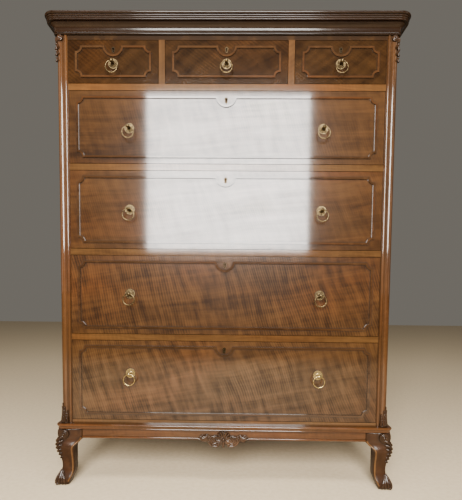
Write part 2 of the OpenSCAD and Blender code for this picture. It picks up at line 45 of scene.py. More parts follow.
# ---------------------------------------------------------------- places from the frame
face_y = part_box("front_rails")[0][1]
case_low, case_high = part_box("corner_post_left")[0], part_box("corner_post_right")[1]
post_x = case_high[0]
column_inset = 13 * MM
column_y = face_y + 9 * MM
post_foot_z = case_low[2]
cornice_z = case_high[2]
leg_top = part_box("leg_front_left")[1][2]
back_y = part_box("back_boards")[1][1]
DRAWERS = ["small_left", "small_centre", "small_right", "long_1", "long_2", "long_3", "long_4"]
SMALL_DRAWERS = 3
OTHER_SIDE = Matrix.Diagonal((-1, 1, 1, 1))


# ---------------------------------------------------------------- bench helpers
def clear_bench():
    if bpy.context.object and bpy.context.object.mode != "OBJECT":
        bpy.ops.object.mode_set(mode="OBJECT")
    bpy.ops.object.select_all(action="DESELECT")


def pick(piece):
    clear_bench()
    piece.select_set(True)
    bpy.context.view_layer.objects.active = piece


def named(name):
    """The piece just made, under its own name."""
    piece = bpy.context.object
    piece.name = piece.data.name = name
    return piece


def finish_piece(piece, angle=40):
    pick(piece)
    bpy.ops.object.transform_apply(location=True, rotation=True, scale=True)
    bpy.ops.object.mode_set(mode="EDIT")
    bpy.ops.mesh.select_all(action="SELECT")
    bpy.ops.mesh.remove_doubles(threshold=1e-6)
    bpy.ops.mesh.normals_make_consistent(inside=False)
    bpy.ops.object.mode_set(mode="OBJECT")
    bpy.ops.object.shade_smooth_by_angle(angle=radians(angle))
    return piece


def modify(piece, kind, **values):
    pick(piece)
    modifier = piece.modifiers.new(kind.lower(), kind)
    for key, value in values.items():
        setattr(modifier, key, value)
    bpy.ops.object.modifier_apply(modifier=modifier.name)


def deselect_mesh(mesh):
    for part in (mesh.vertices, mesh.edges, mesh.polygons):
        for element in part:
            element.select = False


def join(name, pieces):
    clear_bench()
    for piece in pieces:
        piece.select_set(True)
    bpy.context.view_layer.objects.active = pieces[0]
    if len(pieces) > 1:
        bpy.ops.object.join()
    return named(name)


def twin(piece, name, matrix):
    """A copy with its own mesh, carried by a matrix and turned right side out."""
    pick(piece)
    bpy.ops.object.duplicate(linked=False)
    copy = named(name)
    copy.matrix_world = matrix @ copy.matrix_world
    return finish_piece(copy)


def cut(piece, cutter):
    """Take the cutter's shape out of the piece and throw the cutter away."""
    modify(piece, "BOOLEAN", operation="DIFFERENCE", object=cutter, solver="EXACT")
    bpy.data.objects.remove(cutter)


def block(name, low, high):
    """A box between two corners."""
    clear_bench()
    low, high = Vector(low), Vector(high)
    bpy.ops.mesh.primitive_cube_add(size=1, location=(low + high) / 2, scale=high - low)
    return named(name)


def dowel(name, place, radius, length, sides=48):
    """A round bar along Y, centred on its place."""
    clear_bench()
    bpy.ops.mesh.primitive_cylinder_add(vertices=sides, radius=radius, depth=length, location=place,
                                        rotation=(pi / 2, 0, 0))
    return named(name)


def knob(name, place, radius):
    """A small rounded lobe."""
    clear_bench()
    bpy.ops.mesh.primitive_ico_sphere_add(subdivisions=3, radius=radius, location=place)
    bpy.ops.object.transform_apply(location=True, rotation=True, scale=True)
    return named(name)


def rod(name, points, radius, taper, order=4):
    """A carved roll along a line of points; taper gives its fullness from start (0) to end (1)."""
    clear_bench()
    bpy.ops.curve.primitive_nurbs_path_add(location=(0, 0, 0))
    roll = named(name)
    curve = roll.data
    curve.splines.clear()
    line = curve.splines.new("NURBS")
    line.points.add(len(points) - 1)
    last = len(points) - 1
    for k, point in enumerate(points):
        line.points[k].co = (*point, 1)
        line.points[k].radius = taper(k / last)
    line.use_endpoint_u = True
    line.order_u = min(order, len(points))
    line.resolution_u = 3
    curve.dimensions = "3D"
    curve.bevel_depth = radius
    curve.bevel_resolution = 3
    curve.use_fill_caps = True
    pick(roll)
    bpy.ops.object.convert(target="MESH")
    return bpy.context.object


def spiral(centre, way, start_radius, end_radius, turns):
    """Points of a scroll facing -Y that starts at the top and winds inwards towards way (-1 or 1)."""
    centre, across, up = Vector(centre), Vector((way, 0, 0)), Vector((0, 0, 1))
    steps = int(16 * turns) + 1
    points = []
    for k in range(steps + 1):
        t = k / steps
        angle = pi / 2 + tau * turns * t
        radius = start_radius * (end_radius / start_radius) ** t
        points.append(centre + radius * (cos(angle) * across + sin(angle) * up))
    return points


# ---------------------------------------------------------------- materials
def put(tree, kind, inputs=None, **settings):
    """A shader node with its inputs filled or linked."""
    node = tree.nodes.new("ShaderNode" + kind)
    for key, value in settings.items():
        setattr(node, key, value)
    for key, value in (inputs or {}).items():
        if isinstance(value, bpy.types.NodeSocket):
            tree.links.new(value, node.inputs[key])
        else:
            node.inputs[key].default_value = value
    return node


def new_group(name, inputs, outputs):
    group = bpy.data.node_groups.new(name, "ShaderNodeTree")
    for way, sockets in (("INPUT", inputs), ("OUTPUT", outputs)):
        for label, kind in sockets.items():
            group.interface.new_socket(label, in_out=way, socket_type="NodeSocket" + kind)
    return group, group.nodes.new("NodeGroupInput").outputs, group.nodes.new("NodeGroupOutput").inputs


def ramp(tree, factor, stops):
    node = put(tree, "ValToRGB", {0: factor})
    elements = node.color_ramp.elements
    while len(elements) < len(stops):
        elements.new(0.5)
    for element, (position, colour) in zip(elements, stops):
        element.position = position
        element.color = colour if len(colour) == 4 else (*colour, 1)
    return node.outputs[0]


def grey(value):
    return (value, value, value)


def math(tree, operation, a, b, clamp=False):
    return put(tree, "Math", {0: a, 1: b}, operation=operation, use_clamp=clamp).outputs[0]


def mix(tree, factor, a, b):
    return put(tree, "MixRGB", {0: factor, 1: a, 2: b}).outputs[0]


# colour of grime together with painted shade in hollows and creases
GRIME_AND_SHADE_COLOUR = (0.012, 0.007, 0.004, 1)
PORE_COLOUR = (0.02, 0.010, 0.005, 1)
# colour of the painted shadow under the cornice
PAINTED_SHADOW_COLOUR = (0.008, 0.004, 0.002, 1)
NEAR_FACE_BRASS = (0.012, 0.008, 0.005, 1)


def make_grain_group():
    """Timber with its grain along X: long streaks, fine pores and a curly figure across."""
    group, given, out = new_group(
        "timber grain",
        {"Vector": "Vector", "Light": "Color", "Dark": "Color", "Warm": "Color", "Streak Scale": "Float",
         "Figure": "Float", "Figure Scale": "Float", "Figure Lean": "Float", "Pores": "Float"},
        {"Color": "Color", "Height": "Float", "Tone": "Float"})
    vector = given["Vector"]
    drift_way = put(group, "Mapping", {"Vector": vector, "Scale": (0.45, 1, 1)}).outputs[0]
    drift = put(group, "TexNoise", {"Vector": vector, "Scale": 2.2, "Detail": 2.0}).outputs["Color"]
    bent = put(group, "VectorMath", {0: drift, 1: (0.06, 0.06, 0.06)}, operation="MULTIPLY").outputs[0]
    flowing = put(group, "VectorMath", {0: vector, 1: bent}, operation="ADD").outputs[0]
    long_way = put(group, "Mapping", {"Vector": flowing, "Scale": (0.05, 1, 1)}).outputs[0]
    streak = put(group, "TexNoise", {"Vector": long_way, "Scale": given["Streak Scale"], "Detail": 5.0,
                                     "Roughness": 0.62}).outputs["Fac"]
    broad = put(group, "TexNoise", {"Vector": long_way, "Scale": 11.0, "Detail": 2.0}).outputs["Fac"]
    pore_way = put(group, "Mapping", {"Vector": flowing, "Scale": (0.035, 1, 1)}).outputs[0]
    pore_noise = put(group, "TexNoise", {"Vector": pore_way, "Scale": 620.0, "Detail": 1.0}).outputs["Fac"]
    pores = ramp(group, pore_noise, [(0.58, grey(0)), (0.72, grey(0.8))])
    # curly figure: fine bands across the grain, which lean, waver and come and go
    parts = put(group, "SeparateXYZ", {0: flowing}).outputs
    fan = math(group, "ADD", given["Figure Lean"], math(group, "MULTIPLY", parts[0], 0.22))
    lean = math(group, "MULTIPLY", math(group, "ADD", parts[1], parts[2]), fan)
    slanted = math(group, "ADD", parts[0], lean)
    across = put(group, "CombineXYZ", {0: slanted, 1: parts[1], 2: parts[2]}).outputs[0]
    bands = put(group, "TexWave", {"Vector": across, "Scale": given["Figure Scale"], "Distortion": 1.8,
                                   "Detail": 2.0, "Detail Scale": 0.9}, wave_type="BANDS",
                bands_direction="X").outputs["Fac"]
    cloudy = put(group, "Mapping", {"Vector": across, "Scale": (1.0, 0.35, 0.35)}).outputs[0]
    waver = put(group, "TexNoise", {"Vector": cloudy, "Scale": 26.0, "Detail": 3.0}).outputs["Fac"]
    patchy = put(group, "TexNoise", {"Vector": flowing, "Scale": 4.6, "Detail": 2.0}).outputs["Fac"]
    shown = ramp(group, patchy, [(0.42, grey(0.04)), (0.62, grey(1))])
    curl = math(group, "MULTIPLY", math(group, "SUBTRACT", bands, 0.5), shown)
    curl = math(group, "ADD", math(group, "MULTIPLY", curl, 0.26), math(group, "SUBTRACT", waver, 0.5))
    curl = math(group, "MULTIPLY", curl, given["Figure"])
    tone = math(group, "ADD", math(group, "MULTIPLY", streak, 0.70), math(group, "MULTIPLY", broad, 0.55))
    tone = math(group, "ADD", math(group, "SUBTRACT", tone, 0.12), curl)
    spread = put(group, "MapRange", {0: tone, 1: 0.25, 2: 0.80, 3: 0.0, 4: 1.0}).outputs[0]
    warm_patch = put(group, "TexNoise", {"Vector": drift_way, "Scale": 5.5, "Detail": 2.0}).outputs["Fac"]
    warm_mask = ramp(group, warm_patch, [(0.45, grey(0)), (0.68, grey(0.75))])
    light = mix(group, warm_mask, given["Light"], given["Warm"])
    colour = mix(group, spread, given["Dark"], light)
    pore_depth = math(group, "MULTIPLY", pores, given["Pores"])
    colour = mix(group, pore_depth, colour, PORE_COLOUR)
    links = group.links
    links.new(colour, out["Color"])
    links.new(math(group, "SUBTRACT", spread, pore_depth), out["Height"])
    links.new(spread, out["Tone"])
    return group


def make_age_and_shade_group():
    """Grime and painted shade darkening corners, creases and gaps, patches of polish rubbed thin, and uneven
    gloss.
    """
    group, given, out = new_group(
        "age",
        {"Color": "Color", "Reach": "Float", "Grime And Shade": "Float", "Rub": "Float", "Rub Color": "Color",
         "Base Roughness": "Float"},
        {"Color": "Color", "Roughness": "Float"})
    hollow = put(group, "AmbientOcclusion", {"Distance": given["Reach"]}, samples=6, only_local=False)
    shut = ramp(group, hollow.outputs["AO"], [(0.48, grey(1)), (0.95, grey(0))])
    place = put(group, "TexCoord").outputs["Object"]
    cloud = put(group, "TexNoise", {"Vector": place, "Scale": 38.0, "Detail": 4.0}).outputs["Fac"]
    smear = put(group, "TexNoise", {"Vector": place, "Scale": 7.0, "Detail": 3.0}).outputs["Fac"]
    # painted shade with grime: the colour darkens where ambient occlusion finds hollows, creases and gaps
    grime = math(group, "MULTIPLY", math(group, "MULTIPLY", shut, given["Grime And Shade"]),
                 put(group, "MapRange", {0: cloud, 1: 0.25, 2: 0.6, 3: 0.75, 4: 1.0}).outputs[0])
    dark = mix(group, grime, given["Color"], GRIME_AND_SHADE_COLOUR)
    rub = math(group, "MULTIPLY", ramp(group, cloud, [(0.52, grey(0)), (0.70, grey(1))]), given["Rub"])
    links = group.links
    links.new(mix(group, rub, dark, given["Rub Color"]), out["Color"])
    rough = math(group, "ADD", given["Base Roughness"],
                 math(group, "MULTIPLY", math(group, "SUBTRACT", smear, 0.5), 0.14))
    links.new(math(group, "ADD", rough, math(group, "MULTIPLY", shut, 0.25), clamp=True), out["Roughness"])
    return group


GRAIN = make_grain_group()
AGE_AND_SHADE = make_age_and_shade_group()


def use(tree, group, inputs):
    return put(tree, "Group", inputs, node_tree=group).outputs


def start_material(name):
    material = bpy.data.materials.new(name)
    material.use_nodes = True
    tree = material.node_tree
    tree.nodes.clear()
    shader = put(tree, "BsdfPrincipled")
    output = put(tree, "OutputMaterial")
    tree.links.new(shader.outputs[0], output.inputs[0])
    return material, tree, shader


def timber(name, light, dark, turn=(0, 0, 0), shift=(0, 0, 0), figure=0.4, figure_scale=21.0, lean=0.2,
           streak=55.0, pores=0.35, gloss=0.34, coat=0.9, coat_gloss=0.07, grime=0.7, rub=0.12, bump=0.25,
           reach=10 * MM, satin=0.03, painted_shadow_above=None):
    """Polished wood. Coat is the varnish, satin the sheen below it; above the given height a painted shadow
    darkens the colour.
    """
    material, tree, shader = start_material(name)
    place = put(tree, "TexCoord").outputs["Object"]
    turned = put(tree, "Mapping", {"Vector": place, "Rotation": turn, "Location": shift}).outputs[0]
    grain = use(tree, GRAIN, {"Vector": turned, "Light": (*light, 1), "Dark": (*dark, 1),
                              "Warm": (1.25 * light[0], 0.92 * light[1], 0.70 * light[2], 1),
                              "Streak Scale": streak, "Figure": figure, "Figure Scale": figure_scale,
                              "Figure Lean": lean, "Pores": pores})
    rubbed = tuple(min(1, 1.5 * c) for c in light)
    colour = grain["Color"]
    # painted shadow: above this height the colour is mixed towards the shadow colour
    if painted_shadow_above:
        height = put(tree, "SeparateXYZ", {0: place}).outputs[2]
        shadowed = put(tree, "MapRange", {0: height, 1: painted_shadow_above, 2: painted_shadow_above + 1 * MM, 3: 0.0, 4: 0.85})
        colour = mix(tree, shadowed.outputs[0], colour, PAINTED_SHADOW_COLOUR)
    age = use(tree, AGE_AND_SHADE, {"Color": colour, "Reach": reach, "Grime And Shade": grime, "Rub": rub,
                          "Rub Color": (*rubbed, 1), "Base Roughness": gloss})
    relief = put(tree, "Bump", {"Height": grain["Height"], "Strength": bump, "Distance": 0.0003})
    links = tree.links
    links.new(age["Color"], shader.inputs["Base Color"])
    links.new(age["Roughness"], shader.inputs["Roughness"])
    links.new(relief.outputs[0], shader.inputs["Normal"])
    # the varnish has sunk into the darker, open grain
    varnish = put(tree, "MapRange", {0: grain["Tone"], 3: 0.50 * coat, 4: coat}).outputs[0]
    links.new(varnish, shader.inputs["Coat Weight"])
    shader.inputs["Coat Roughness"].default_value = coat_gloss
    shader.inputs["Specular IOR Level"].default_value = satin
    return material


def metal(name, bright, dull, gloss, tarnish):
    """Brass with patches of tarnish."""
    material, tree, shader = start_material(name)
    place = put(tree, "TexCoord").outputs["Object"]
    cloud = put(tree, "TexNoise", {"Vector": place, "Scale": 160.0, "Detail": 4.0}).outputs["Fac"]
    fine = put(tree, "TexNoise", {"Vector": place, "Scale": 900.0, "Detail": 3.0}).outputs["Fac"]
    patches = ramp(tree, cloud, [(0.5 - 0.2 * tarnish, grey(0)), (0.72, grey(1))])
    colour = mix(tree, math(tree, "MULTIPLY", patches, tarnish), (*bright, 1), (*dull, 1))
    # brass lying close to the wood face is darkened almost to black
    depth = put(tree, "SeparateXYZ", {0: place}).outputs[1]
    edge = face_y - 1.6 * MM
    flush = put(tree, "MapRange", {0: depth, 1: edge, 2: edge + 0.7 * MM, 3: 0.0, 4: 0.93}).outputs[0]
    colour = mix(tree, flush, colour, NEAR_FACE_BRASS)
    age = use(tree, AGE_AND_SHADE, {"Color": colour, "Reach": 6 * MM, "Grime And Shade": 0.8, "Rub": 0.1,
                          "Rub Color": (*bright, 1), "Base Roughness": gloss})
    relief = put(tree, "Bump", {"Height": fine, "Strength": 0.2, "Distance": 0.0002})
    links = tree.links
    links.new(age["Color"], shader.inputs["Base Color"])
    links.new(age["Roughness"], shader.inputs["Roughness"])
    links.new(relief.outputs[0], shader.inputs["Normal"])
    shader.inputs["Metallic"].default_value = 1.0
    return material


UPRIGHT = (0, pi / 2, 0)
WALNUT = {"light": (0.068, 0.028, 0.008), "dark": (0.015, 0.0058, 0.0018)}
FACE = {"light": (0.052, 0.0225, 0.0062), "dark": (0.0120, 0.0046, 0.0012)}
# painted shade: a darker copy of FACE for the small drawers under the cornice
PAINTED_SHADE_FACE = {"light": (0.027, 0.0118, 0.0032), "dark": (0.0058, 0.0024, 0.0007)}
CARVED = {"light": (0.032, 0.0145, 0.006), "dark": (0.007, 0.0032, 0.0014)}
OAK = {"light": (0.27, 0.165, 0.072), "dark": (0.14, 0.078, 0.032)}

# the frieze just under the cornice carries a painted shadow
rail_walnut = timber("rail walnut", (0.075, 0.035, 0.0100), (0.024, 0.0100, 0.0028), figure=0.3, streak=85.0,
                     painted_shadow_above=cornice_z - 14.5 * MM)
post_walnut = timber("post walnut", **WALNUT, turn=UPRIGHT, figure=0.15)
side_walnut = timber("side walnut", **WALNUT, turn=UPRIGHT, shift=(0.3, 0.1, 0), figure=0.35)
top_walnut = timber("top walnut", **WALNUT, shift=(0, 0.2, 0), figure=0.3, gloss=0.3)
cornice_walnut = timber("cornice walnut", (0.014, 0.0066, 0.0027), (0.0045, 0.0021, 0.0010), figure=0.2,
                        bump=0.10, coat=0.45, coat_gloss=0.12)
base_walnut = timber("base walnut", (0.078, 0.032, 0.009), (0.021, 0.008, 0.0024), figure=0.25, bump=0.15)
apron_walnut = timber("apron walnut", (0.082, 0.031, 0.0085), (0.024, 0.009, 0.0025), figure=0.25)
shell_walnut = timber("shell walnut", (0.066, 0.033, 0.016), (0.013, 0.006, 0.003), figure=0.1, grime=1.0,
                      rub=0.5, gloss=0.4, coat=0.8, coat_gloss=0.12)
divider_walnut = timber("divider walnut", (0.064, 0.029, 0.0085), (0.018, 0.0075, 0.0022), turn=UPRIGHT)
carved_walnut = timber("carved walnut", **CARVED, turn=UPRIGHT, figure=0.1, grime=1.0, rub=0.35, gloss=0.42,
                       coat=0.5, coat_gloss=0.16)
leg_walnut = timber("leg walnut", (0.033, 0.0128, 0.0040), (0.0095, 0.0036, 0.0013), turn=UPRIGHT,
                    figure=0.15, grime=0.9, rub=0.3, gloss=0.5, coat=0.4, coat_gloss=0.2)
# the roll is coloured lighter than the leg: partly wear along its edge, partly painted light
roll_walnut = timber("roll walnut", (0.100, 0.046, 0.0140), (0.034, 0.0140, 0.0042), turn=UPRIGHT,
                     figure=0.1, grime=0.5, rub=0.3, gloss=0.4, coat=0.5, coat_gloss=0.2, reach=3 * MM)
bead_walnut = timber("bead walnut", (0.047, 0.022, 0.0085), (0.010, 0.0045, 0.0020), figure=0.1, gloss=0.16,
                     coat=1.0, coat_gloss=0.05, grime=1.0, rub=0.25, reach=5 * MM)
oak = timber("oak", **OAK, figure=0.1, gloss=0.62, coat=0.0, pores=0.5, streak=80.0, grime=0.5, rub=0.05)
ROUGH_OAK = {"light": (0.19, 0.11, 0.048), "dark": (0.090, 0.049, 0.020), "figure": 0.1, "gloss": 0.68,
             "coat": 0.0, "pores": 0.5, "streak": 70.0, "grime": 0.6, "rub": 0.05}
oak_case = timber("case oak", **ROUGH_OAK)
oak_upright = timber("upright oak", **ROUGH_OAK, turn=UPRIGHT)
aged_brass = metal("aged brass", (0.14, 0.10, 0.048), (0.018, 0.012, 0.007), gloss=0.36, tarnish=1.0)
rubbed_brass = metal("rubbed brass", (0.45, 0.34, 0.15), (0.09, 0.06, 0.026), gloss=0.24, tarnish=0.8)
lock_brass = metal("lock brass", (0.60, 0.46, 0.22), (0.25, 0.18, 0.09), gloss=0.42, tarnish=0.5)


def drawer_veneer(k):
    """Each drawer's own leaf of veneer: diagonal figure on the small ones, curly on the long ones. The small
    ones take a darker copy of the colours, a painted shade under the cornice.
    """
    small = k < SMALL_DRAWERS
    lower = DRAWERS[k] in ("long_3", "long_4")
    slant = radians(38) if small else radians(-3 + 2 * k)
    return timber(
        f"veneer {DRAWERS[k]}", **(PAINTED_SHADE_FACE if small else FACE), turn=(0, slant, 0),
        shift=(0.37 * k, 0.11 * k, 0.53 * k), figure=1.0 if lower else 0.6 if small else 0.45,
        figure_scale=21.0 if lower else 24.0, lean=-0.15 if lower else 0.1, pores=0.3, bump=0.18,
        satin=0.06 if lower else 0.01 if small else 0.04, coat=1.0, grime=0.9, reach=6 * MM)


def dress(node, material):
    """Finish a CAD node as it stands."""
    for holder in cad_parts[node].material_slots:
        holder.material = material


def give(piece, material, body):
    """Finish a new piece and tie it to its body."""
    piece.data.materials.clear()
    piece.data.materials.append(material)
    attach(piece, body)


def dress_case():
    finishes = {
        "side_panel_left": side_walnut, "side_panel_right": side_walnut, "corner_post_left": post_walnut,
        "corner_post_right": post_walnut, "cornice": cornice_walnut, "top_board": top_walnut,
        "front_rails": rail_walnut, "drawer_dividers": divider_walnut, "drawer_runners": oak_case,
        "dust_boards": oak_case, "back_boards": oak_upright, "base_moulding": base_walnut,
        "apron": apron_walnut, "apron_carving": shell_walnut, "post_carving_left": carved_walnut,
        "post_carving_right": carved_walnut, "leg_front_left": leg_walnut, "leg_front_right": leg_walnut,
        "leg_rear_left": leg_walnut, "leg_rear_right": leg_walnut}
    for node, material in finishes.items():
        dress(node, material)


# ---------------------------------------------------------------- drawers
BEAD_WIDTH = 6.4 * MM
BEAD_STAND = 4.0 * MM
CORNER_RADIUS = 18 * MM
LOOP_RADIUS = 31 * MM
LOOP_RISE = 3 * MM
BEAD_ROUND = 2.7 * MM
BITE_DEPTH = 60 * MM
SMALL_MARGIN, LONG_MARGIN, TOP_MARGIN = 26.5 * MM, 28.5 * MM, 21.5 * MM


def panel_blank(name, low_x, high_x, low_z, high_z, grow, depth):
    """The panel's outline as a solid: hollow corners and a half-round bite round the keyhole."""
    blank = block(name, (low_x - grow, face_y - depth, low_z - grow), (high_x + grow, face_y, high_z + grow))
    for x in (low_x, high_x):
        for z in (low_z, high_z):
            cut(blank, dowel("corner", (x, face_y, z), CORNER_RADIUS - grow, BITE_DEPTH))
    middle = ((low_x + high_x) / 2, face_y, high_z + LOOP_RISE)
    cut(blank, dowel("loop", middle, LOOP_RADIUS - grow, BITE_DEPTH, 72))
    return blank


def panel_bead(name):
    """The raised strip round a drawer's panel, its two front edges rounded over."""
    low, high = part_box(name + "_front")
    margin = SMALL_MARGIN if name.startswith("small") else LONG_MARGIN
    sides = (low[0] + margin, high[0] - margin, low[2] + TOP_MARGIN, high[2] - TOP_MARGIN)
    bead = panel_blank(name + "_bead", *sides, BEAD_WIDTH / 2, BEAD_STAND)
    cut(bead, panel_blank("inside", *sides, -BEAD_WIDTH / 2, 3 * BEAD_STAND))
    pick(bead)
    bpy.ops.object.mode_set(mode="EDIT")
    bpy.ops.mesh.select_all(action="SELECT")
    bpy.ops.mesh.remove_doubles(threshold=1e-6)
    bpy.ops.object.mode_set(mode="OBJECT")
    mesh = bead.data
    deselect_mesh(mesh)
    front = face_y - BEAD_STAND + 0.01 * MM
    sided = {}
    for polygon in mesh.polygons:
        for key in polygon.edge_keys:
            sided.setdefault(key, []).append(polygon.normal.y)
    for edge in mesh.edges:
        facing = sided.get(tuple(sorted(edge.vertices)), [])
        on_front = all(mesh.vertices[v].co.y < front for v in edge.vertices)
        edge.select = on_front and len(facing) == 2 and min(facing) < -0.9 and max(facing) > -0.5
        if edge.select:
            for v in edge.vertices:
                mesh.vertices[v].select = True
    bpy.ops.object.mode_set(mode="EDIT")
    bpy.ops.mesh.select_mode(type="EDGE")
    bpy.ops.mesh.bevel(offset=BEAD_ROUND, segments=4, profile=0.5, affect="EDGES", clamp_overlap=True)
    bpy.ops.object.mode_set(mode="OBJECT")
    return finish_piece(bead, 50)


def make_drawers():
    """Veneered fronts, oak boxes, brass, and a bead on every front."""
    for k, name in enumerate(DRAWERS):
        veneer = drawer_veneer(k)
        dress(name + "_front", veneer)
        dress(name + "_box", oak)
        brass = rubbed_brass if name == "long_4" else aged_brass
        dress(name + "_fittings", brass)
        dress(name + "_bolt", lock_brass)
        for ring in ("_ring",) if k < SMALL_DRAWERS else ("_ring_left", "_ring_right"):
            dress(name + ring, brass)
        give(panel_bead(name), bead_walnut, name + "_drawer")


# ---------------------------------------------------------------- carving
def bump(z, middle, spread):
    return exp(-((z - middle) / spread) ** 2)


def ease(t):
    t = min(1, max(0, t))
    return t * t * (3 - 2 * t)


def swell(t):
    """Fullness of a leaf lobe from root to tip."""
    return 0.35 + 0.65 * sin(pi * min(1, 0.12 + 0.80 * t)) ** 0.8


def fuse(name, pieces, grain_size, passes=2):
    """Work separate lobes and rolls into one carved solid."""
    solid = join(name, pieces)
    modify(solid, "REMESH", mode="VOXEL", voxel_size=grain_size)
    modify(solid, "SMOOTH", factor=0.5, iterations=passes)
    return finish_piece(solid, 60)


def coin(name, place, radius, length, edge):
    """A round boss along Y with a softened rim."""
    disc = dowel(name, place, radius, length)
    modify(disc, "BEVEL", width=edge, segments=3, limit_method="ANGLE", angle_limit=radians(40))
    return disc


def volute(place, radius, roll, way, turns):
    """A scroll facing -Y: a boss, a roll winding into it and a button at the eye."""
    x, y, z = place
    pieces = [coin("boss", (x, y + 2.5 * roll, z), radius, 5 * roll, 0.5 * roll)]
    winding = spiral(place, way, radius - roll, 0.28 * radius, turns)
    pieces.append(rod("roll", winding, roll, lambda t: 1 - 0.35 * t))
    pieces.append(knob("eye", (x, y - 0.3 * roll, z), 0.27 * radius))
    return pieces


# Cabriole leg, drawn from the post's corner
LEG_CORNER = Vector((-post_x, face_y, 0))
SHOULDER_Z, KNEE_Z, TOE_Z = 194 * MM, 142 * MM, 14 * MM
WING_Z, WING_FOOT_Z, HEEL_Z = 163 * MM, 128 * MM, 48 * MM
LEG_STEPS = 28
LEG_MIDDLE = 20 * MM
PLAIN_REACH, KNEE_REACH, TOE_REACH, SHOULDER_REACH = 1 * MM, 15 * MM, 17 * MM, 7 * MM


def leg_reach(z):
    """How far the leg's outer faces stand out from the post at this height."""
    return (PLAIN_REACH + KNEE_REACH * bump(z, KNEE_Z, 44 * MM) + TOE_REACH * bump(z, TOE_Z, 27 * MM)
            + SHOULDER_REACH * bump(z, SHOULDER_Z, 17 * MM))


def leg_inside(z):
    """Where the leg's inner faces lie: they flare into the apron and draw in above the heel."""
    flare = 26 * ease((z - 135 * MM) / (WING_Z - 135 * MM)) + 3 * ease((z - 120 * MM) / (40 * MM))
    heel = 15 * ease((HEEL_Z - z) / HEEL_Z)
    return -(41 + flare - heel) * MM


def wing_share(z):
    """How far the leg's shoulder has drawn back to the apron's face at this height."""
    return ease((z - WING_FOOT_Z) / (WING_Z - WING_FOOT_Z))


def leg_point(reach_x, reach_y, z):
    return (-post_x - reach_x, face_y - reach_y, z)


def wrap_corner(along, lift, z):
    """A place on the outer corner: along is negative on the front face, positive on the side."""
    out = leg_reach(z)
    if along < 0:
        return leg_point(out + along, out + lift, z)
    return leg_point(out + lift, out - along, z)


def leg_section(z, rear):
    """Middle and size of the leg's square section, measured from its corner."""
    out, inside = leg_reach(z), leg_inside(z)
    out_y = min(out, 0) if rear else out
    middle = ((out + inside) / 2, (out_y + inside) / 2)
    return middle, (out - inside, out_y - inside)


def leg_body(name, rear):
    """The leg drawn up from the floor, one extrusion at a time."""
    way, start_y = (1, back_y) if rear else (-1, face_y)

    def place(middle, z):
        return -post_x - middle[0], start_y + way * middle[1], z

    step = leg_top / LEG_STEPS
    middle, size = leg_section(0, rear)
    x, y, _ = place(middle, 0)
    body = block(name, (x - size[0] / 2, y - size[1] / 2, 0), (x + size[0] / 2, y + size[1] / 2, step))
    bpy.ops.object.transform_apply(location=True, rotation=True, scale=True)
    deselect_mesh(body.data)
    for polygon in body.data.polygons:
        polygon.select = polygon.normal.z > 0.9
        if polygon.select:
            for v in polygon.vertices:
                body.data.vertices[v].select = True
    bpy.ops.object.mode_set(mode="EDIT")
    bpy.ops.mesh.select_mode(type="FACE")
    for k in range(1, LEG_STEPS + 1):
        z = step * k
        now, wanted = leg_section(z, rear)
        before = place(middle, z)
        after = place(now, z)
        if k > 1:
            bpy.ops.mesh.extrude_region_move(TRANSFORM_OT_translate={"value": (0, 0, step)})
        bpy.ops.transform.translate(value=(after[0] - before[0], after[1] - before[1], 0))
        bpy.ops.transform.resize(value=(wanted[0] / size[0], wanted[1] / size[1], 1), center_override=after)
        middle, size = now, wanted
    bpy.ops.object.mode_set(mode="OBJECT")
    lean_wings(body, rear)
    modify(body, "BEVEL", width=6 * MM, segments=3, limit_method="ANGLE", angle_limit=radians(50))
    modify(body, "SUBSURF", levels=1, render_levels=1)
    return body


def lean_wings(body, rear):
    """Draw the inner corners of the leg's shoulder back to the aprons' faces."""
    middle_x, middle_y = -post_x + LEG_MIDDLE, back_y - LEG_MIDDLE if rear else face_y + LEG_MIDDLE
    for level in range(1, LEG_STEPS + 1):
        z = leg_top * level / LEG_STEPS
        share = wing_share(z)
        if share == 0:
            continue
        back = share * leg_reach(z)
        for side in ("flank",) if rear else ("front", "flank"):
            deselect_mesh(body.data)
            for vertex in body.data.vertices:
                x, y, height = vertex.co
                inner_x = x > middle_x
                outer_y = y > middle_y if rear else y < middle_y
                wanted = inner_x and outer_y if side == "front" else not inner_x and not outer_y
                vertex.select = wanted and abs(height - z) < 1 * MM
            pick(body)
            bpy.ops.object.mode_set(mode="EDIT")
            bpy.ops.mesh.select_mode(type="VERT")
            bpy.ops.transform.translate(value=(0, back, 0) if side == "front" else (back, 0, 0))
            bpy.ops.object.mode_set(mode="OBJECT")


def knee_leaves():
    """Acanthus lobes that wind over the outer corner from the shoulder to the calf."""
    lobes = []
    for k in range(6):
        size = 1 - 0.11 * k
        z = (164 - 13.5 * k) * MM
        path = [wrap_corner(-25 * size * MM, -2.5 * MM, z + 8 * size * MM),
                wrap_corner(-16 * size * MM, 0.8 * MM, z + 6 * size * MM),
                wrap_corner(-7 * size * MM, 1.8 * MM, z),
                wrap_corner(0, 1.0 * MM, z - 6 * size * MM),
                wrap_corner(9 * size * MM, 1.0 * MM, z - 11 * size * MM),
                wrap_corner(18 * size * MM, -2.5 * MM, z - 14 * size * MM)]
        lobes.append(rod("lobe", path, 5.4 * size * MM, swell))
    spine = [wrap_corner(-3 * MM, -3 * MM, (168 - 9 * k) * MM) for k in range(11)]
    lobes.append(rod("spine", spine, 4.6 * MM, lambda t: 1 - 0.75 * t))
    return lobes


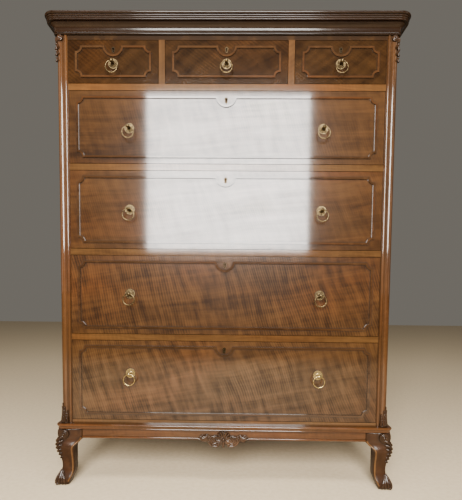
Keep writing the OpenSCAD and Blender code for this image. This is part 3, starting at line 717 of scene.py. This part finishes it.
def toe_leaves():
    """A leaf folded over the toe, its tips curled at the floor."""
    lobes = []
    for k in range(-3, 4):
        spread = 10 * k * MM
        drop = 1.3 * abs(k) * MM
        path = [wrap_corner(0.30 * spread, -2 * MM, 52 * MM - drop),
                wrap_corner(0.55 * spread, 0.5 * MM, 40 * MM - drop),
                wrap_corner(0.85 * spread, 1.0 * MM, 24 * MM),
                wrap_corner(spread, 0.6 * MM, 12 * MM),
                wrap_corner(spread, -1.5 * MM, 6.5 * MM)]
        lobes.append(rod("toe lobe", path, 5.6 * MM, lambda t: 0.35 + 0.5 * sin(pi * (0.1 + 0.6 * t))))
        lobes.append(knob("toe tip", wrap_corner(spread, -2.2 * MM, 6.2 * MM), 5 * MM))
    return lobes


def inner_roll():
    """The thin roll that runs from the apron's lower edge down the leg's inner edge."""
    path = []
    for k in range(22):
        z = WING_Z + 3 * MM - k * (WING_Z - 12 * MM) / 21
        path.append(leg_point(leg_inside(z) + 4.5 * MM, leg_reach(z) * (1 - wing_share(z)) + 0.5 * MM, z))
    return rod("inner roll", path, 3.3 * MM, lambda t: 1 - 0.2 * t)


def across_corner(corner):
    """Carries work on the front face round the corner to the side face."""
    x, y = corner[0], corner[1]
    return Matrix(((0, 1, 0, x - y), (1, 0, 0, y - x), (0, 0, 1, 0), (0, 0, 0, 1)))


def make_legs():
    """Carved front legs and plain rear ones; the right pair mirrors the left."""
    front = finish_piece(leg_body("leg_front_left_body", rear=False), 50)
    roll = inner_roll()
    side_roll = twin(roll, "side roll", across_corner(LEG_CORNER))
    rolls = finish_piece(join("leg_front_left_roll", [roll, side_roll]), 50)
    scroll_z = leg_top - 20 * MM
    scroll_place = leg_point(-10 * MM, leg_reach(scroll_z) + 3 * MM, scroll_z)
    scroll = join("scroll", volute(scroll_place, 17 * MM, 2.6 * MM, -1, 1.8))
    side_scroll = twin(scroll, "side scroll", across_corner(LEG_CORNER))
    leaf = fuse("leg_front_left_leaf", [scroll, side_scroll] + knee_leaves() + toe_leaves(), 0.75 * MM)
    rear = finish_piece(leg_body("leg_rear_left_body", rear=True), 50)
    finishes = {"leaf": carved_walnut, "roll": roll_walnut, "body": leg_walnut}
    for side, matrix in (("left", None), ("right", OTHER_SIDE)):
        pieces = {"front": (front, leaf, rolls), "rear": (rear,)}
        for place, made in pieces.items():
            node = f"leg_{place}_{side}"
            for piece in made:
                if matrix:
                    piece = twin(piece, piece.name.replace("left", "right"), matrix)
                kind = piece.name.split("_")[-1]
                give(piece, finishes[kind], "case")
                if kind == "body":
                    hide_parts(node)


COLUMN = Vector((-post_x + column_inset, column_y, 0))
COLUMN_RADIUS = 12 * MM


def on_column(turn, out, z):
    """A place round the post's column: turn 0 faces front, positive towards the outside."""
    radius = COLUMN_RADIUS + out
    return (COLUMN.x - radius * sin(turn), COLUMN.y - radius * cos(turn), z)


def foot_leaf():
    """Five upright lobes round the column's foot, each with fronds to one side."""
    lobes = []
    for k in range(-2, 3):
        turn = radians(38 + 34 * k)
        height = (70 - 13 * abs(k)) * MM
        base = post_foot_z
        path = [on_column(turn, 3.5 * MM, base + 3.5 * MM),
                on_column(turn, 2.6 * MM, base + 0.25 * height),
                on_column(turn, 0.8 * MM, base + 0.55 * height),
                on_column(turn, 0.4 * MM, base + 0.85 * height),
                on_column(turn, 2.6 * MM, base + height)]
        lobes.append(rod("foot lobe", path, 4.4 * MM, lambda t: 0.95 - 0.45 * t))
        for level in (0.22, 0.42, 0.62):
            frond = [on_column(turn, 1.0 * MM, base + level * height),
                     on_column(turn + 0.25, 2.6 * MM, base + (level + 0.14) * height),
                     on_column(turn + 0.48, 1.4 * MM, base + (level + 0.20) * height)]
            lobes.append(rod("side frond", frond, 2.7 * MM, swell, 3))
    return lobes


def foot_flare():
    """The ring the column stands on."""
    clear_bench()
    bpy.ops.mesh.primitive_cone_add(vertices=64, radius1=17.5 * MM, radius2=14 * MM, depth=11 * MM,
                                    location=(COLUMN.x, COLUMN.y, post_foot_z + 5.6 * MM))
    flare = named("flare")
    modify(flare, "BEVEL", width=3 * MM, segments=3, limit_method="ANGLE", angle_limit=radians(40))
    return flare


def husk(k):
    """One bell flower of the drop: a middle petal, two side petals and a seed."""
    size = 1 - 0.17 * k
    middle = radians(58)
    top = cornice_z - (25 + 22 * k) * MM
    petals = []
    for side in (-1, 0, 1):
        turn = middle + side * 0.45 * size
        reach = (21 - 4 * abs(side)) * size * MM
        path = [on_column(middle, 0.8 * MM, top), on_column(turn, 2.8 * MM, top - 0.45 * reach),
                on_column(turn + 0.15 * side, 3.6 * MM, top - 0.8 * reach),
                on_column(turn + 0.30 * side, 4.6 * MM, top - reach)]
        petals.append(rod("petal", path, 5.0 * size * MM, lambda t: 0.40 + 0.60 * t))
    petals.append(knob("seed", on_column(middle, 4.6 * MM, top - 2 * MM), 3.4 * size * MM))
    return petals


def make_post_carvings():
    """A scroll and a drop of husks at the column's head, a leaf at its foot."""
    scroll_place = (COLUMN.x, COLUMN.y - COLUMN_RADIUS - 6 * MM, cornice_z - 11 * MM)
    scroll = join("post scroll", volute(scroll_place, 9.5 * MM, 1.9 * MM, -1, 1.5))
    side_scroll = twin(scroll, "post side scroll", across_corner(COLUMN))
    pieces = [scroll, side_scroll]
    for k in range(3):
        pieces += husk(k)
    pieces += foot_leaf() + [foot_flare()]
    left = fuse("post_carving_left_carved", pieces, 0.55 * MM, 1)
    right = twin(left, "post_carving_right_carved", OTHER_SIDE)
    for side, piece in (("left", left), ("right", right)):
        give(piece, carved_walnut, "case")
        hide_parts(f"post_carving_{side}")


def make_apron_carving():
    """Shell, paired C-scrolls and leaf sprays standing on the apron's middle."""
    middle_z = leg_top - 33 * MM
    ground_y = face_y - 1 * MM

    def spot(x, up, out):
        """A place in millimetres from the shell's middle: across, up and out of the ground."""
        return x * MM, ground_y - out * MM, middle_z + up * MM

    def ground(x, up, radius):
        return coin("ground", spot(x, up, -1.5), radius * MM, 5 * MM, 1.5 * MM)

    half = [ground(31, -7, 19), ground(58, 2, 13), ground(75, 6, 8)]
    # lower roll: from the apron's bead over a cusp into the C-scroll
    edge = [spot(*p, 1.2) for p in ((87, -1), (78, -2), (70, -5.5), (60, -8))]
    half.append(rod("edge roll", edge, 2.8 * MM, lambda t: 1 - 0.15 * t))
    cee = [spot(*p, 1.8) for p in ((56, 2), (54, -9), (47, -19), (37, -25), (27, -27), (18, -25),
                                   (13.5, -19), (17, -14.5), (21, -17))]
    half.append(rod("cee scroll", cee, 2.7 * MM, lambda t: 0.75 + 0.35 * sin(pi * t)))
    half.append(knob("cee eye", spot(17.5, -18.5, 3.2), 3.6 * MM))
    inner = [spot(*p, 1.5) for p in ((24, -16), (33, -19), (42, -14), (45, -5), (38, 1))]
    half.append(rod("inner leaf", inner, 3.4 * MM, swell))
    half.append(rod("inner curl", [spot(*p, 1.8) for p in ((25, -9), (33, -7), (33, 1), (26, 7))],
                    3.0 * MM, swell))
    half.append(rod("shell wing", [spot(*p, 2.0) for p in ((8, -4), (14, -9), (20, -8), (25, -2))],
                    3.0 * MM, swell))
    for k in range(5):
        angle = radians(68 - 24 * k)
        reach = 30 - 2.5 * abs(k - 2)
        path = [spot(54 + t * reach * cos(angle), 0.62 * t * reach * sin(angle) - 1, 1.5 + 2.4 * sin(pi * t))
                for t in (0.05, 0.35, 0.65, 1.0)]
        half.append(rod("spray leaf", path, 4.2 * MM, swell))
    half.append(rod("spray stem", [spot(*p, 1.0) for p in ((30, 8), (40, 9), (50, 4), (58, 0))],
                    3 * MM, swell))
    right = join("right half", half)
    left = twin(right, "left half", OTHER_SIDE)
    centre = [ground(0, 0, 22)]
    for k in range(-3, 4):
        angle = radians(90 + 25 * k)
        path = [spot(t * cos(angle), 1 + t * sin(angle), 1.2 + 0.11 * t) for t in (4, 13, 21, 26.5)]
        centre.append(rod("shell rib", path, 4.2 * MM, lambda t: 0.35 + 0.65 * t))
    centre.append(knob("shell boss", spot(0, -2, 2.5), 5.5 * MM))
    centre.append(rod("drop", [spot(0, up, 2.2) for up in (-9, -16, -23, -29)], 4.6 * MM,
                      lambda t: 0.55 + 0.45 * sin(pi * (0.1 + 0.8 * t))))
    carving = fuse("apron_carving_carved", [left, right] + centre, 0.6 * MM, 1)
    give(carving, shell_walnut, "case")
    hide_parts("apron_carving")


# ---------------------------------------------------------------- room, camera, lights
def make_floor():
    clear_bench()
    bpy.ops.mesh.primitive_plane_add(size=14, location=(0, 0, 0))
    floor = named("studio_floor")
    material, tree, shader = start_material("pale floor")
    place = put(tree, "TexCoord").outputs["Object"]
    speckle = put(tree, "TexNoise", {"Vector": place, "Scale": 60.0, "Detail": 4.0}).outputs["Fac"]
    shade = ramp(tree, speckle, [(0.3, (0.54, 0.43, 0.28)), (0.7, (0.60, 0.49, 0.33))])
    tree.links.new(shade, shader.inputs["Base Color"])
    shader.inputs["Roughness"].default_value = 0.7
    floor.data.materials.append(material)


def soft_light(name, place, aim, width, height, power, colour):
    """An oblong lamp at its place, turned towards its aim."""
    clear_bench()
    bpy.ops.object.light_add(type="AREA", location=place)
    lamp = named(name)
    lamp.data.shape = "RECTANGLE"
    lamp.data.size, lamp.data.size_y = width, height
    lamp.data.energy = power
    lamp.data.color = colour
    direction = Vector(aim) - Vector(place)
    lamp.rotation_euler = direction.to_track_quat("-Z", "Y").to_euler()


def make_lights():
    """A window facing the chest, whose reflection lies on the upper long drawers, and soft fills."""
    x, height, away = -0.065, 1.835, 3.0
    soft_light("window", (x, face_y - away, height), (x, 0, height), 1.61, 1.53, 480, (1.0, 0.97, 0.92))
    for name, x in (("left fill", -2.7), ("right fill", 2.7)):
        soft_light(name, (x, face_y - 1.5, 1.7), (0, face_y, 0.8), 1.4, 2.2, 24, (1.0, 0.90, 0.76))
    soft_light("overhead", (0, -1.5, 3.3), (0, -0.3, 0.6), 2.6, 0.7, 90, (1.0, 0.96, 0.90))
    world = bpy.data.worlds.new("studio")
    bpy.context.scene.world = world
    world.use_nodes = True
    background = world.node_tree.nodes["Background"].inputs
    background["Color"].default_value = (0.80, 0.74, 0.64, 1)
    background["Strength"].default_value = 0.20


def make_camera():
    clear_bench()
    eye_x, eye_away, eye_z = 0.0436, 1.514, 0.688
    heading, dip, roll = 0.80, 3.654, 0.536
    bpy.ops.object.camera_add(location=(eye_x, face_y - eye_away, eye_z))
    camera = named("camera")
    turned = (Matrix.Rotation(radians(heading), 3, "Z") @ Matrix.Rotation(radians(90 - dip), 3, "X")
              @ Matrix.Rotation(radians(roll), 3, "Z"))
    camera.rotation_euler = turned.to_euler()
    camera.data.sensor_width = 36
    camera.data.lens = 32.02
    camera.data.shift_y = 0.134
    camera.data.dof.use_dof = False
    bpy.context.scene.camera = camera


make_camera()
make_lights()
make_floor()
dress_case()
make_drawers()
make_legs()
make_post_carvings()
make_apron_carving()
